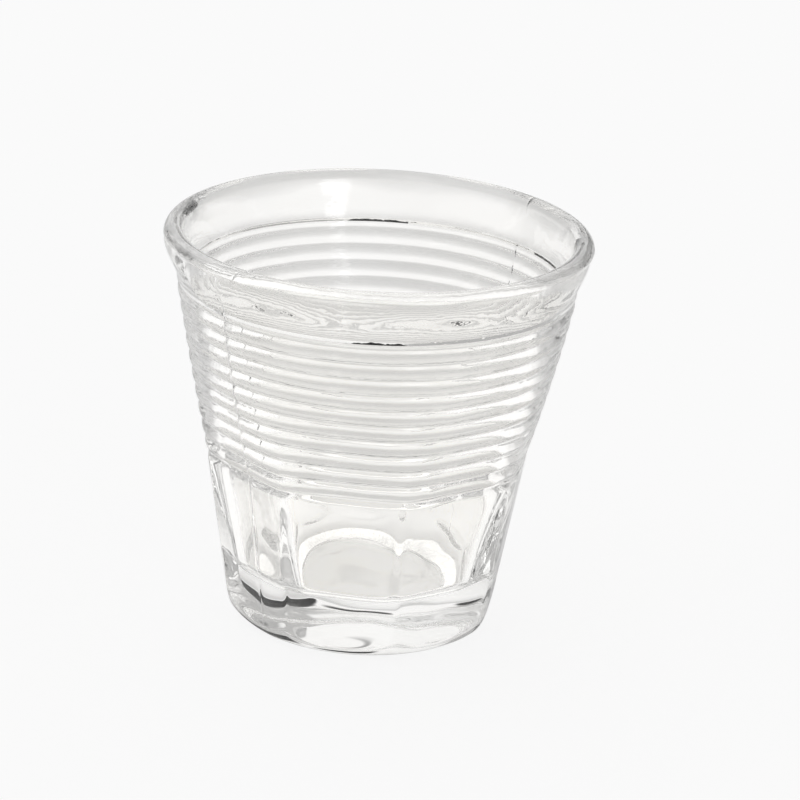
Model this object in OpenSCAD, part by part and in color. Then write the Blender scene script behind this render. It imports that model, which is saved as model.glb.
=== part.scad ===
// Cortado glass: a small tumbler of clear pressed glass, in one piece.
// The wall is round under the lip, ribbed round its middle and eight-sided below, inside too.
// Origin: centre of the underside, +Z up. The front of the glass looks along -Y.

/* [Overall] */
// Diameter over the lip
rim_d = 78; // [72:0.5:84]
// Height from the table to the top of the lip
height = 75; // [71:0.5:82]
// Diameter over the corners at the lowest groove
waist_d = 60.8; // [58:0.1:63]
// Diameter that the lower body would have at the table without its round heel
base_cone_d = 49.8; // [47:0.1:53]

/* [Lip] */
// Thickness of the rounded lip
lip_t = 3.9; // [3.2:0.1:4.4]
// How far the lip stands out over the plain band
lip_flare = 2.7; // [1.6:0.1:3.2]
// Height of the curve that leads from the lip down to the plain band
lip_curve_h = 8; // [6:0.1:8.4]

/* [Ribs] */
// Number of ribs
rib_count = 10; // [7:1:11]
// Height of one rib
rib_h = 3.09; // [2.7:0.01:3.3]
// Depth of the sharp grooves between the ribs
groove_depth = 0.55; // [0.3:0.05:0.7]
// Drop from the top of the lip to the first groove
first_groove_drop = 10.9; // [10.6:0.1:12]

/* [Eight-sided body] */
// Turn of the corner next to the front, from the front towards +X, in degrees
corner_turn = 14.5; // [0:0.5:45]
// Depth of each flat under the round body, at the middle of the flat
flat_depth = 1.7; // [1:0.05:1.9]
// Height above the lowest groove over which the flats fade into the round wall
flat_fade_h = 16; // [10:0.5:17]

/* [Inside] */
// Thickness of the wall at the lowest groove, at the corners
wall_waist_t = 5; // [4.4:0.1:5.6]
// Thickness of the wall at the level of the inside floor, at the corners
wall_foot_t = 7; // [5.5:0.1:8]
// Thickness of the base at its middle, with its recess filled
base_t = 11; // [9.5:0.1:13.5]
// Radius of the round between the inside floor and the wall
floor_round_r = 3; // [2:0.5:5]
// Depth of each flat inside the glass, at the middle of the flat
inner_flat_depth = 1; // [0.5:0.1:1.4]
// Height over which the flats inside fade into the round wall
inner_fade_h = 20; // [14:1:24]

/* [Foot] */
// Radius of the round heel between the body and the foot
heel_r = 7; // [5:0.5:9]
// Diameter of the recess inside the foot ring
recess_d = 29; // [26:0.5:32]
// Depth of that recess
recess_depth = 0.5; // [0.3:0.1:1]
// Width of the round between the foot ring and the bottom of the recess
recess_round_w = 0.8; // [0.6:0.1:2]

/* [Hidden] */
// The flats come in opposite pairs, and each pair is one cut
flat_pairs = 4;
flat_count = 2 * flat_pairs;
// Overrun of the cuts past the glass
cut_over = 2;
// How far the floor between the flats lies under the round floor, as a share of the floor's round.
// The two floors then don't meet in one plane
flat_floor_drop_share = 1 / 30;
// Straight pieces in each curve of the outline
rib_steps = 6;
lip_steps = 16;
curve_steps = 12;
turn_fn = 180;

rim_r = rim_d / 2;
lip_r = lip_t / 2;
lip_z = height - lip_r;
band_r = rim_r - lip_flare;
first_groove_z = height - first_groove_drop;
last_groove_z = first_groove_z - rib_count * rib_h;
waist_r = waist_d / 2;
base_cone_r = base_cone_d / 2;
flat_top_z = last_groove_z + flat_fade_h;
mouth_r = rim_r - lip_t;
inner_waist_r = waist_r - wall_waist_t;

// Round of one rib: an arc over the rib's height, as high as the grooves are deep
rib_r = (pow(rib_h / 2, 2) + pow(groove_depth, 2)) / (2 * groove_depth);

// Angles from upright of the lower body, and of the wall's inner face below and above the lowest groove
body_lean = atan((waist_r - base_cone_r) / last_groove_z);
floor_r = base_cone_r + base_t * tan(body_lean) - wall_foot_t;
inner_foot_lean = atan((inner_waist_r - floor_r) / (last_groove_z - base_t));
inner_lean = atan((mouth_r - inner_waist_r) / (lip_z - last_groove_z));

// The flats inside have their full depth up to one rib below the lowest groove
inner_knee_z = last_groove_z - rib_h;
inner_flat_floor_z = base_t - floor_round_r * flat_floor_drop_share;

// Radius of the round body over its crests, at a height
function crest_radius(z) =
    z > first_groove_z ? band_r
    : z > last_groove_z ? waist_r + (band_r - waist_r) * (z - last_groove_z) / (first_groove_z - last_groove_z)
    : base_cone_r + z * tan(body_lean);

// How far a rib's arc stands out of its grooves, at a share of its height
function rib_bulge(share) = sqrt(pow(rib_r, 2) - pow(rib_h * (share - 1 / 2), 2)) - (rib_r - groove_depth);

// Depth of the flats under the crests, which is less than nothing above the fade
function flat_depth_at(z) = z < last_groove_z ? flat_depth : flat_depth * (flat_top_z - z) / flat_fade_h;

// Heights down the ribbed wall, each with its rib's bulge there, from the first groove to the crest
// of the plain body under the last one. The shares are the places of the points on each rib
function rib_levels(shares) = concat(
    [for (i = [0 : rib_count - 1]) for (share = shares)
        [first_groove_z - (i + share) * rib_h, rib_bulge(share)]],
    [for (share = shares) if (share < 1 / 2 + 3 / 4 / rib_steps)
        [last_groove_z - share * rib_h, share < 1 / 2 ? rib_bulge(share) : groove_depth]]);

// Places of the points on a rib of the round body, and on a flat's rib. They lie between each other,
// so that no four faces of the glass meet in one point
round_shares = [for (i = [0 : rib_steps - 1]) i / rib_steps];
flat_shares = concat([0], [for (i = [1 : rib_steps]) (i - 1 / 2) / rib_steps]);

// Points of an arc round a centre, from one angle to another
function arc(centre, r, from, to, steps) =
    [for (i = [0 : steps]) let (a = from + (to - from) * i / steps) centre + r * [cos(a), sin(a)]];

// Points of a round of radius r between a leaning wall and the floor under it
function floor_round(wall_r, lean, floor_z, r, steps) =
    arc([wall_r + r * tan(lean) - r / cos(lean), floor_z + r], r, -lean, -90, steps);

// Points of the section through the glass, from the lip down the outside and under the foot
function lip_points() = arc([rim_r - lip_r, lip_z], lip_r, 180 - inner_lean, 0, lip_steps);

function lip_curve_points() =
    [for (i = [1 : curve_steps]) let (share = i / curve_steps)
        [band_r + lip_flare * (1 + cos(180 * share)) / 2, lip_z - lip_curve_h * share]];

// The plain band ends in half a rib over the first groove
function band_edge_points() =
    [for (share = round_shares) if (share >= 1 / 2)
        [band_r - groove_depth + rib_bulge(share), first_groove_z + (1 - share) * rib_h]];

function rib_points() =
    [for (level = rib_levels(round_shares))
        [crest_radius(level[0]) - groove_depth + level[1], level[0]]];

function heel_points() = floor_round(base_cone_r, body_lean, 0, heel_r, curve_steps);

function recess_points() =
    [for (i = [0 : curve_steps / 2]) let (share = 2 * i / curve_steps)
        [recess_d / 2 - recess_round_w * share, recess_depth * (1 - cos(180 * share)) / 2]];

// Half of the section through the glass with its inside filled up to a dish under the lip
module filled_section() {
    polygon(concat(
        lip_points(), lip_curve_points(), band_edge_points(), rib_points(), heel_points(), recess_points(),
        [[0, recess_depth], [0, first_groove_z]]));
}

// Half of the section through the room inside, which ends over the glass
module inside_section() {
    lip_end = lip_points()[0];
    polygon(concat(
        [[0, height + cut_over], [lip_end[0], height + cut_over], lip_end, [inner_waist_r, last_groove_z]],
        floor_round(floor_r, inner_foot_lean, base_t, floor_round_r, curve_steps),
        [[0, base_t]]));
}

// One side of the body as seen square to a pair of flats: the ribs follow the flats in
function outer_flat_side() =
    let (levels = [for (level = rib_levels(flat_shares)) if (level[0] < flat_top_z + rib_h) level])
    concat(
        [[rim_r + cut_over, height + cut_over], [rim_r + cut_over, levels[0][0]]],
        [for (level = levels)
            [crest_radius(level[0]) - groove_depth + level[1] - flat_depth_at(level[0]), level[0]]],
        [[base_cone_r - flat_depth, 0], [base_cone_r - flat_depth, -cut_over]]);

// Radius of the round wall's inner face below the lowest groove, at a height
function inner_foot_radius(z) = inner_waist_r - (last_groove_z - z) * tan(inner_foot_lean);

// One side of the room inside, seen in the same way
function inner_flat_side() =
    let (
        knee = [inner_foot_radius(inner_knee_z) - inner_flat_depth, inner_knee_z],
        fade_slope = tan(inner_lean) + inner_flat_depth / inner_fade_h,
        top_z = height + cut_over,
        round_points = floor_round(
            inner_foot_radius(inner_flat_floor_z) - inner_flat_depth,
            inner_foot_lean, inner_flat_floor_z, floor_round_r, curve_steps),
        round_end = round_points[curve_steps])
    concat(
        [[knee[0] + (top_z - inner_knee_z) * fade_slope, top_z], knee],
        round_points,
        [[round_end[0], round_end[1] - cut_over]]);

function reversed(points) = [for (i = [len(points) - 1 : -1 : 0]) points[i]];

// Room between the flats of all pairs, for one side of their outline. Each pair's flats lie
// half a side on from the corner next to the front
module between_flats(side) {
    intersection_for (i = [0 : flat_pairs - 1])
        rotate([90, 0, corner_turn + (i + 1 / 2) * 360 / flat_count])
            linear_extrude(height = 2 * (rim_r + cut_over), center = true)
                polygon(concat(side, [for (point = reversed(side)) [-point[0], point[1]]]));
}

module tumbler() {
    color([0.88, 0.93, 0.91, 0.4])
        difference() {
            intersection() {
                rotate_extrude($fn = turn_fn) filled_section();
                between_flats(outer_flat_side());
            }
            intersection() {
                rotate_extrude($fn = turn_fn) inside_section();
                between_flats(inner_flat_side());
            }
        }
}

tumbler();
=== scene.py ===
import math

import bpy
import numpy as np
from mathutils import Matrix, Vector


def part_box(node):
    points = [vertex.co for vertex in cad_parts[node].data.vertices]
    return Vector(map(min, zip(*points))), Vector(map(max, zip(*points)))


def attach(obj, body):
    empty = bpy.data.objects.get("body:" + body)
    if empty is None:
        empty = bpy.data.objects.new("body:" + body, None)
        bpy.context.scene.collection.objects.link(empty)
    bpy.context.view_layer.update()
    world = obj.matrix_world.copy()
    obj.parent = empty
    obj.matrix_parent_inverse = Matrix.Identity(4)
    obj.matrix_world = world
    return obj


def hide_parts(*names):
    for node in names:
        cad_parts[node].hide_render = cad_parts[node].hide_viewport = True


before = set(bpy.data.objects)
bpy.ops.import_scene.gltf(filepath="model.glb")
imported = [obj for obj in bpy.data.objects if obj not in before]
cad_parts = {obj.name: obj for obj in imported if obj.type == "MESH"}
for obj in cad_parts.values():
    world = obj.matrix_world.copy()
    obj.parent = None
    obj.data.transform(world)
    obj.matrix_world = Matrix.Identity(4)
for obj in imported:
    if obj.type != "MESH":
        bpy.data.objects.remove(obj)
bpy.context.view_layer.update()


# Tumbler
# The whole glass, lip to foot: soda-lime glass pressed in a mould of two halves and fire-polished.
# It is round under the lip and ribbed round its middle. Below it turns eight-sided, outside and inside.
tumbler_lo, tumbler_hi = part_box("tumbler")
height = tumbler_hi[2] - tumbler_lo[2]
rim_r = (tumbler_hi[0] - tumbler_lo[0]) / 2

lip_t = 0.0039
lip_flare = 0.0027
lip_curve_h = 0.008
lip_z = height - lip_t / 2
band_r = rim_r - lip_flare

rib_count = 10
rib_h = 0.00309
groove_depth = 0.00055
groove_softness = 0.0001
first_groove_drop = 0.0109
first_groove_z = height - first_groove_drop
last_groove_z = first_groove_z - rib_count * rib_h

waist_r = 0.0304
base_cone_r = 0.0249
body_slope = (waist_r - base_cone_r) / last_groove_z

flat_count = 8
flat_depth = 0.0017
flat_fade_h = 0.016
corner_turn = math.radians(14.5)
corner_softness = 0.0016

base_t = 0.011
wall_foot_t = 0.007
wall_waist_t = 0.005
floor_round_r = 0.003
floor_r = base_cone_r + base_t * body_slope - wall_foot_t
inner_waist_r = waist_r - wall_waist_t
inner_foot_slope = (inner_waist_r - floor_r) / (last_groove_z - base_t)
inner_slope = (rim_r - lip_t - inner_waist_r) / (lip_z - last_groove_z)
inner_flat_depth = 0.001
inner_knee_z = last_groove_z - rib_h
inner_fade_h = 0.020
inner_corner_softness = 0.0011

heel_r = 0.007
recess_r = 0.0145
recess_depth = 0.0005
recess_round_w = 0.0008

seam_turns = (math.radians(-47), math.radians(133))
seam_h = 0.00007
seam_w = 0.00025
# Share of a groove's depth that a seam fills
seam_fill = 0.25

# Points in each stretch of the section, steps in each rib, and the rings of the recess and of the inside
# floor as shares of their radius
recess_count, heel_count, body_count = 9, 26, 18
rib_steps = 12
lip_curve_count, lip_count = 18, 22
inner_count, floor_round_count = 16, 14
underside_shares = (0, 0.35, 0.7)
floor_shares = (0.75, 0.5, 0.25, 0)
# Degrees between two points of a ring. Then, in widths of a seam, the room kept free for the seam's own
# points and their places
ring_step = 1.25
seam_room = 3
seam_places = (-2, -1, -0.5, 0, 0.5, 1, 2)


def arc(centre_r, centre_z, radius, start, end, count):
    """Points of an arc in the section: the centre plus the radius turned from start to end, in degrees."""
    turn = np.radians(np.linspace(start, end, count))
    return np.stack([centre_r + radius * np.cos(turn), centre_z + radius * np.sin(turn)], axis=1)


def corner_round(wall_r, slope, floor_z, radius, count):
    """Round between a leaning wall and the floor under it, from the wall to the floor: its centre lies
    one radius over the floor, and one radius from the wall measured square to the wall."""
    lean = math.atan(slope)
    centre_r = wall_r + radius * slope - radius / math.cos(lean)
    return arc(centre_r, floor_z + radius, radius, -math.degrees(lean), -90, count)


def crest_radius(z):
    """Radius over the crests: the band's, then a straight taper down the ribs, then a steeper one below."""
    ribbed = waist_r + (band_r - waist_r) * (z - last_groove_z) / (first_groove_z - last_groove_z)
    body = base_cone_r + body_slope * z
    return np.where(z > first_groove_z, band_r, np.where(z > last_groove_z, ribbed, body))


def groove_cut(z):
    """Depth under the crests: each rib is an arc as high as the groove is deep, and the surface is the
    soft maximum of two neighbouring arcs, which rounds the bottom of the groove a little. Half a rib over
    the first groove and half a rib under the last one lead to the plain wall."""
    arc_r = ((rib_h / 2) ** 2 + groove_depth ** 2) / (2 * groove_depth)
    place = (first_groove_z - z) / rib_h
    in_ribs = (place > -0.5) & (place < rib_count + 0.5)
    share = place - np.floor(place) - 0.5
    to_next = np.where(share > 0, 1 - share, 1 + share)
    rise = np.sqrt(arc_r ** 2 - (rib_h * share) ** 2)
    rise_next = np.sqrt(np.maximum(arc_r ** 2 - (rib_h * to_next) ** 2, 0))
    both = (rise + rise_next + np.sqrt((rise - rise_next) ** 2 + groove_softness ** 2)) / 2
    return np.where(in_ribs, np.clip(arc_r - both, 0, None), 0)


def soft_min(one, other, softness):
    """Smaller of two distances, rounded where they differ by less than the softness: less a quarter of
    the softness times the square of how near they are."""
    near = np.maximum(1 - np.abs(one - other) / softness, 0)
    return np.minimum(one, other) - softness * near ** 2 / 4


def glass_section():
    """Points of the section from the middle of the underside, out over the foot, up the outside, over the
    lip and down the inside to the edge of the floor, and where the outside begins and ends."""
    recess_share = np.linspace(0, 1, recess_count)[:, None]
    recess = np.hstack([recess_r - recess_round_w * (1 - recess_share),
                        recess_depth * (1 + np.cos(np.pi * recess_share)) / 2])
    under = np.array([(recess[0, 0] * share, recess_depth) for share in underside_shares])
    heel = corner_round(base_cone_r, body_slope, 0, heel_r, heel_count)[::-1]
    ribs_end_z = last_groove_z - rib_h / 2
    band_start_z = first_groove_z + rib_h / 2
    body_z = np.linspace(heel[-1, 1], ribs_end_z, body_count)[1:-1]
    rib_z = np.linspace(ribs_end_z, band_start_z, rib_steps * (rib_count + 1) + 1)
    wall_z = np.concatenate([body_z, rib_z])
    wall = np.stack([crest_radius(wall_z) - groove_cut(wall_z), wall_z], axis=1)
    curve_share = np.linspace(1, 0, lip_curve_count)
    lip_curve = np.stack([band_r + lip_flare * (1 + np.cos(np.pi * curve_share)) / 2,
                          lip_z - lip_curve_h * curve_share], axis=1)
    lip_end = 180 - math.degrees(math.atan(inner_slope))
    lip = arc(rim_r - lip_t / 2, lip_z, lip_t / 2, 0, lip_end, lip_count)[1:]
    floor_round = corner_round(floor_r, inner_foot_slope, base_t, floor_round_r, floor_round_count)
    inner_z = np.concatenate([np.linspace(lip[-1, 1], last_groove_z, inner_count)[1:],
                              np.linspace(last_groove_z, floor_round[0, 1], inner_count)[1:-1]])
    inner_r = np.interp(inner_z, (floor_round[0, 1], last_groove_z, lip[-1, 1]),
                        (floor_round[0, 0], inner_waist_r, lip[-1, 0]))
    inner = np.stack([inner_r, inner_z], axis=1)
    before = np.vstack([under, recess])
    outside = np.vstack([heel, wall, lip_curve])
    points = np.vstack([before, outside, lip, inner, floor_round])
    return points, len(before), len(before) + len(outside)


def turn_apart(turn, other):
    """Turn from the other azimuth to this one, the short way round: the angle of exp(i * difference)."""
    return np.angle(np.exp(1j * (turn - other)))


def ring_turns():
    """Azimuths round the glass, 0 at the front and growing towards +X: even steps, with a few extra
    ones close to each seam so that its thin ridge has a shape."""
    even = np.radians(np.arange(0, 360, ring_step))
    near = np.array(seam_places) * seam_w / waist_r
    close = np.concatenate([near + seam_turn for seam_turn in seam_turns])
    apart = np.array([np.abs(turn_apart(even, seam_turn)) for seam_turn in seam_turns]).min(axis=0)
    kept = even[apart > seam_room * seam_w / waist_r]
    return np.sort(np.mod(np.concatenate([kept, close]), 2 * np.pi))


def tumbler_surface(points, first, last, turn):
    """Grid of the closed surface. The section is turned round the axis. Outside and inside the radius is
    the smaller of the round one and the distance to the nearest flat, (radius - depth) / cos(turn from
    the flat's middle), by a soft minimum. The depth is whole below and fades upwards to less than
    nothing. Each seam adds a thin ridge, which fades out over the heel, and fills a share of every groove.
    The floor closes the inside."""
    radius = np.repeat(points[:, :1], len(turn), axis=1)
    z = np.repeat(points[:, 1:], len(turn), axis=1)
    step = 2 * math.pi / flat_count
    off_flat = np.mod(turn - corner_turn, step) - step / 2
    out_z = z[first:last]
    cut = groove_cut(out_z)
    depth = flat_depth * np.minimum(1, 1 - (out_z - last_groove_z) / flat_fade_h)
    flat = (crest_radius(out_z) - cut - depth) / np.cos(off_flat)
    outside = soft_min(radius[first:last], flat, corner_softness)
    for seam_turn in seam_turns:
        apart = turn_apart(turn, seam_turn) * outside
        ridge = np.exp(-(apart / seam_w) ** 2) * np.clip(out_z / heel_r, 0, 1)
        outside = outside + ridge * (seam_h + seam_fill * cut)
    inner_depth = inner_flat_depth * np.minimum(1, 1 - (z[last:] - inner_knee_z) / inner_fade_h)
    inner_flat = (radius[last:] - inner_depth) / np.cos(off_flat)
    radius[first:last] = outside
    radius[last:] = soft_min(radius[last:], inner_flat, inner_corner_softness)
    floor_edge = radius[-1]
    for share in floor_shares:
        radius = np.vstack([radius, floor_edge * share])
        z = np.vstack([z, z[-1]])
    return np.stack([radius * np.sin(turn), -radius * np.cos(turn), z], axis=2)


def closed_mesh(name, grid):
    """Mesh of a grid whose first and last rows are poles: rings between them joined by quads, and a fan
    of triangles at each pole. The rows run so that every face points out of the glass."""
    rings, count = grid.shape[0] - 2, grid.shape[1]
    verts = np.vstack([grid[0, :1], grid[1:-1].reshape(-1, 3), grid[-1, :1]])
    here = np.arange(count)
    beside = np.roll(here, -1)
    row = (1 + count * np.arange(rings - 1))[:, None]
    next_row = row + count
    quads = np.stack([row + here, row + beside, next_row + beside, next_row + here], axis=2).reshape(-1, 4)
    top = 1 + count * (rings - 1)
    start_fan = np.stack([np.zeros_like(here), 1 + beside, 1 + here], axis=1)
    end_fan = np.stack([np.full_like(here, len(verts) - 1), top + here, top + beside], axis=1)
    mesh = bpy.data.meshes.new(name)
    mesh.from_pydata(verts, [], quads.tolist() + start_fan.tolist() + end_fan.tolist())
    mesh.shade_smooth()
    mesh.validate()
    return mesh


section, outside_first, outside_last = glass_section()
tumbler_grid = tumbler_surface(section, outside_first, outside_last, ring_turns())
tumbler_mesh = closed_mesh("tumbler_glass", tumbler_grid)
tumbler = bpy.data.objects.new("tumbler_glass", tumbler_mesh)
bpy.context.scene.collection.objects.link(tumbler)

glass_ior = 1.52
# The waves and the ripple that the mould leaves: how wide, how high and how broken up they are. The ripple
# sets in at one height and is whole from another one
wave_size, wave_h, wave_detail = 0.013, 0.00075, 0.5
ripple_size, ripple_h, ripple_detail = 0.0028, 0.00005, 2
ripple_start_z, ripple_whole_z = 0.030, 0.036
# The wear of the foot ring: how far up it reaches, its roughness, and the noise that breaks it into patches
worn_h, worn_roughness = 0.00025, 0.35
wear_size, wear_detail = 0.0015, 3
wear_start, wear_end, least_wear = 0.35, 0.65, 0.3
# The melt's colour and the one of its clearer streaks, and the noise that draws the streaks
melt_color = (0.955, 0.948, 0.930, 1)
clear_color = (0.972, 0.968, 0.956, 1)
streak_size, streak_detail = 0.02, 1
streak_start, streak_end = 0.4, 0.7

glass = bpy.data.materials.new("pressed_clear_glass")
glass.use_nodes = True
glass_tree = glass.node_tree
shader = glass_tree.nodes["Principled BSDF"]
shader.inputs["IOR"].default_value = glass_ior
shader.inputs["Transmission Weight"].default_value = 1.0
glass_place = glass_tree.nodes.new("ShaderNodeTexCoord")
glass_axes = glass_tree.nodes.new("ShaderNodeSeparateXYZ")
glass_tree.links.new(glass_place.outputs["Object"], glass_axes.inputs[0])


def cloudy(size, detail):
    """Noise over the glass whose lumps are about as wide as the size, in metres."""
    noise = glass_tree.nodes.new("ShaderNodeTexNoise")
    noise.inputs["Scale"].default_value = 1 / size
    noise.inputs["Detail"].default_value = detail
    glass_tree.links.new(glass_place.outputs["Object"], noise.inputs["Vector"])
    return noise.outputs["Fac"]


def ramp(tree, value, start, end, low, high, kind="LINEAR"):
    """Value that runs from low to high while another one runs from start to end."""
    node = tree.nodes.new("ShaderNodeMapRange")
    node.interpolation_type = kind
    node.inputs["From Min"].default_value = start
    node.inputs["From Max"].default_value = end
    node.inputs["To Min"].default_value = low
    node.inputs["To Max"].default_value = high
    tree.links.new(value, node.inputs["Value"])
    return node.outputs["Result"]


def joined(tree, operation, one, other):
    """Sum or product of two values."""
    node = tree.nodes.new("ShaderNodeMath")
    node.operation = operation
    tree.links.new(one, node.inputs[0])
    tree.links.new(other, node.inputs[1])
    return node.outputs[0]


# The hot mould leaves slow waves on all the glass, and a finer ripple on the ribs and above them
waves = ramp(glass_tree, cloudy(wave_size, wave_detail), 0, 1, 0, wave_h)
ripple_depth = ramp(glass_tree, glass_axes.outputs["Z"], ripple_start_z, ripple_whole_z, 0, ripple_h)
ripple = joined(glass_tree, "MULTIPLY", cloudy(ripple_size, ripple_detail), ripple_depth)
uneven = glass_tree.nodes.new("ShaderNodeBump")
uneven.inputs["Distance"].default_value = 1.0
glass_tree.links.new(joined(glass_tree, "ADD", waves, ripple), uneven.inputs["Height"])
glass_tree.links.new(uneven.outputs["Normal"], shader.inputs["Normal"])

# The foot ring is dulled by tables and shelves, in patches, and the rest is fire-polished
near_table = ramp(glass_tree, glass_axes.outputs["Z"], 0, worn_h, worn_roughness, 0)
wear = ramp(glass_tree, cloudy(wear_size, wear_detail), wear_start, wear_end, least_wear, 1)
glass_tree.links.new(joined(glass_tree, "MULTIPLY", near_table, wear), shader.inputs["Roughness"])

# The melt is a warm grey, a shade clearer in streaks. A Mix node's inputs 6 and 7 are its two colours
melt = glass_tree.nodes.new("ShaderNodeMix")
melt.data_type = "RGBA"
melt.inputs[6].default_value = melt_color
melt.inputs[7].default_value = clear_color
streaks = ramp(glass_tree, cloudy(streak_size, streak_detail), streak_start, streak_end, 0, 1)
glass_tree.links.new(streaks, melt.inputs[0])
glass_tree.links.new(melt.outputs[2], shader.inputs["Base Color"])
tumbler_mesh.materials.append(glass)

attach(tumbler, "root")
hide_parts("tumbler")


# Table
# A plain white table, wide enough to fill every view. The eye sees it burnt out nearly to white, with the
# glass's soft shadow left. Seen through the glass it also has painted light, an emission though it is no
# lamp:
# a painted pool of light in front of the glass and under its foot, a painted shadow close behind it, and
# more painted light farther off.
table_half = 3.0
table_color = (0.9, 0.9, 0.9, 1)
table_burn = 0.88
# Painted light seen through the glass: a pool in front and under the foot, a painted shadow close behind,
# more far off
painted_front_light, painted_shadow_light, painted_far_light = 0.52, 0.05, 0.37
front_end_y, painted_shadow_start_y = 0.030, 0.075
painted_shadow_end_y, far_start_y = 0.13, 0.34

table_mesh = bpy.data.meshes.new("table")
table_corners = [(-table_half, -table_half, 0), (table_half, -table_half, 0),
                 (table_half, table_half, 0), (-table_half, table_half, 0)]
table_mesh.from_pydata(table_corners, [], [(0, 1, 2, 3)])
table = bpy.data.objects.new("table", table_mesh)
bpy.context.scene.collection.objects.link(table)

white = bpy.data.materials.new("white_table")
white.use_nodes = True
table_tree = white.node_tree
table_tree.nodes.clear()
table_place = table_tree.nodes.new("ShaderNodeTexCoord")
table_axes = table_tree.nodes.new("ShaderNodeSeparateXYZ")
table_tree.links.new(table_place.outputs["Object"], table_axes.inputs[0])
table_ray = table_tree.nodes.new("ShaderNodeLightPath")

# Painted light and painted shadow on the table, seen only by rays that pass through the glass
to_back = table_axes.outputs["Y"]
into_painted_shadow = ramp(table_tree, to_back, front_end_y, painted_shadow_start_y, painted_front_light, painted_shadow_light, "SMOOTHSTEP")
out_of_painted_shadow = ramp(table_tree, to_back, painted_shadow_end_y, far_start_y, 0, painted_far_light - painted_shadow_light, "SMOOTHSTEP")
painted_light_level = joined(table_tree, "ADD", into_painted_shadow, out_of_painted_shadow)
painted_light_strength = joined(table_tree, "MULTIPLY", painted_light_level, table_ray.outputs["Is Transmission Ray"])
burn = ramp(table_tree, table_ray.outputs["Is Camera Ray"], 0, 1, 0, table_burn)

paper = table_tree.nodes.new("ShaderNodeBsdfDiffuse")
paper.inputs["Color"].default_value = table_color
painted_light_emission = table_tree.nodes.new("ShaderNodeEmission")
table_tree.links.new(painted_light_strength, painted_light_emission.inputs["Strength"])
paper_and_painted_light = table_tree.nodes.new("ShaderNodeAddShader")
table_tree.links.new(paper.outputs[0], paper_and_painted_light.inputs[0])
table_tree.links.new(painted_light_emission.outputs[0], paper_and_painted_light.inputs[1])
burnt = table_tree.nodes.new("ShaderNodeEmission")
seen_table = table_tree.nodes.new("ShaderNodeMixShader")
table_tree.links.new(burn, seen_table.inputs[0])
table_tree.links.new(paper_and_painted_light.outputs[0], seen_table.inputs[1])
table_tree.links.new(burnt.outputs[0], seen_table.inputs[2])
table_out = table_tree.nodes.new("ShaderNodeOutputMaterial")
table_tree.links.new(seen_table.outputs[0], table_out.inputs["Surface"])
table_mesh.materials.append(white)


# Light
# A dim room with soft windows, painted on the world as round patches, of which a later one covers an
# earlier one. Dark patches low at the left and behind draw the black lines in the glass. The eye sees
# plain white behind the glass.
room_level = 0.46
white_level, front_level, glare_level = 1.00, 0.80, 3.50
dark_level, left_dark_level = 0.02, 0.06

world = bpy.data.worlds.new("studio")
bpy.context.scene.world = world
world.use_nodes = True
world_tree = world.node_tree
background = world_tree.nodes["Background"]
background.inputs["Color"].default_value = (1, 1, 1, 1)
world_place = world_tree.nodes.new("ShaderNodeTexCoord")
room = world_tree.nodes.new("ShaderNodeValue")
room.outputs[0].default_value = room_level


def painted(light, level, azimuth, elevation, inner, outer):
    """The room's light with a round patch of another level painted over it, whole up to the inner angle
    from its middle and fading out to the outer one. Angles are in degrees, and the azimuth runs from the
    front towards +X. The cosine of the angle from the middle is the dot product of the two directions."""
    turn, rise = math.radians(azimuth), math.radians(elevation)
    middle = (math.sin(turn) * math.cos(rise), -math.cos(turn) * math.cos(rise), math.sin(rise))
    cosine = world_tree.nodes.new("ShaderNodeVectorMath")
    cosine.operation = "DOT_PRODUCT"
    cosine.inputs[1].default_value = middle
    world_tree.links.new(world_place.outputs["Generated"], cosine.inputs[0])
    edge, core = math.cos(math.radians(outer)), math.cos(math.radians(inner))
    # A Mix node's inputs 2 and 3 are its two numbers
    mix = world_tree.nodes.new("ShaderNodeMix")
    mix.inputs[3].default_value = level
    cover = ramp(world_tree, cosine.outputs["Value"], edge, core, 0, 1, "SMOOTHSTEP")
    world_tree.links.new(cover, mix.inputs[0])
    world_tree.links.new(light, mix.inputs[2])
    return mix.outputs[0]


# A wide light low in front, a window overhead at the left, and the white backdrop behind, low and high
light = painted(room.outputs[0], front_level, azimuth=38, elevation=2, inner=16, outer=50)
light = painted(light, white_level, azimuth=277, elevation=64, inner=33, outer=39)
light = painted(light, white_level, azimuth=190, elevation=2, inner=22, outer=26)
light = painted(light, white_level, azimuth=186, elevation=42, inner=28, outer=32)
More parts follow.
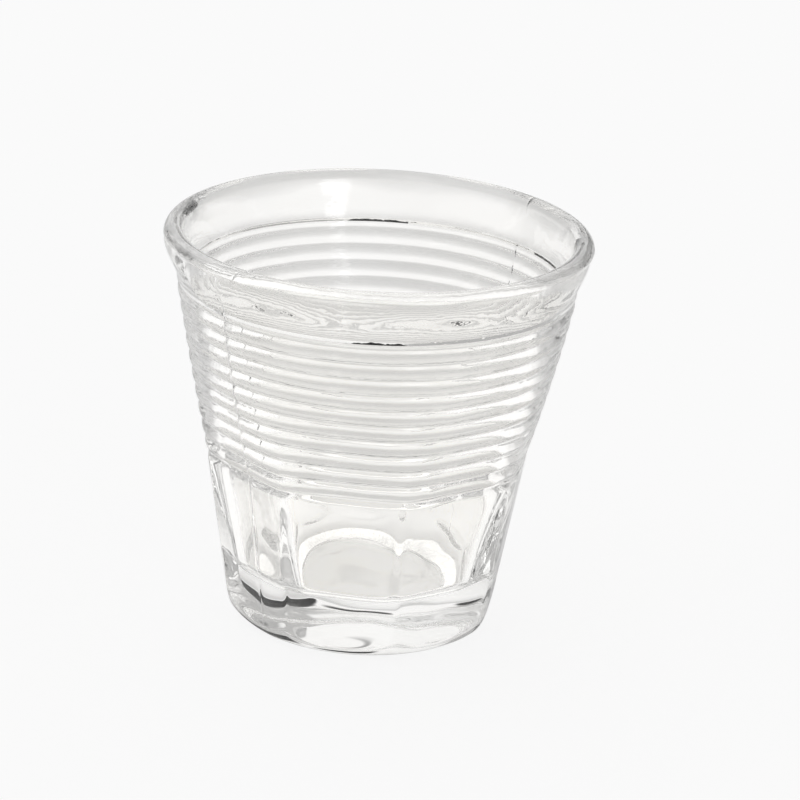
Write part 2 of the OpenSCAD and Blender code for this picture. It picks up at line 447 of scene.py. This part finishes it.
# Dark things low at the left, low behind at the right, and in three small places behind the glass
light = painted(light, left_dark_level, azimuth=254, elevation=8, inner=21, outer=27)
light = painted(light, dark_level, azimuth=149, elevation=3, inner=18, outer=23)
light = painted(light, dark_level, azimuth=164, elevation=2, inner=5, outer=9)
light = painted(light, dark_level, azimuth=180, elevation=11, inner=4, outer=8)
light = painted(light, dark_level, azimuth=216, elevation=3, inner=5, outer=8)
# A small bright light in front, which glares on the far wall inside
light = painted(light, glare_level, azimuth=28, elevation=9, inner=4, outer=9)

world_ray = world_tree.nodes.new("ShaderNodeLightPath")
seen_light = world_tree.nodes.new("ShaderNodeMix")
seen_light.inputs[3].default_value = white_level
world_tree.links.new(world_ray.outputs["Is Camera Ray"], seen_light.inputs[0])
world_tree.links.new(light, seen_light.inputs[2])
world_tree.links.new(seen_light.outputs[0], background.inputs["Strength"])


# Camera
# Eye and roll are those of the photograph, worked out from its lip, its grooves and its outline. It looks
# down at the glass through a long lens, from close by.
pitch = math.radians(19.618)
roll = math.radians(3.0)
distance = 0.780
# How far the middle of the lip lies to the right of and above the line of sight, in metres
aside, above = -0.005263, 0.028957

camera_data = bpy.data.cameras.new("camera")
camera_data.sensor_width = 36
camera_data.lens = 194.29
camera_data.clip_start = 0.01
camera = bpy.data.objects.new("camera", camera_data)
bpy.context.scene.collection.objects.link(camera)
forward = Vector((0, math.cos(pitch), -math.sin(pitch)))
right = Vector((1, 0, 0))
up = right.cross(forward)
eye = Vector((0, 0, lip_z)) - distance * forward - aside * right - above * up
turned_right = math.cos(roll) * right + math.sin(roll) * up
turned_up = -math.sin(roll) * right + math.cos(roll) * up
axes = Matrix((turned_right, turned_up, -forward)).transposed()
camera.matrix_world = Matrix.Translation(eye) @ axes.to_4x4()
bpy.context.scene.camera = camera

bpy.context.scene.view_settings.view_transform = "Standard"
# Light turns many times inside the lip and the ribs before it leaves the glass
bpy.context.scene.cycles.max_bounces = 32
bpy.context.scene.cycles.glossy_bounces = 24
bpy.context.scene.cycles.transmission_bounces = 32
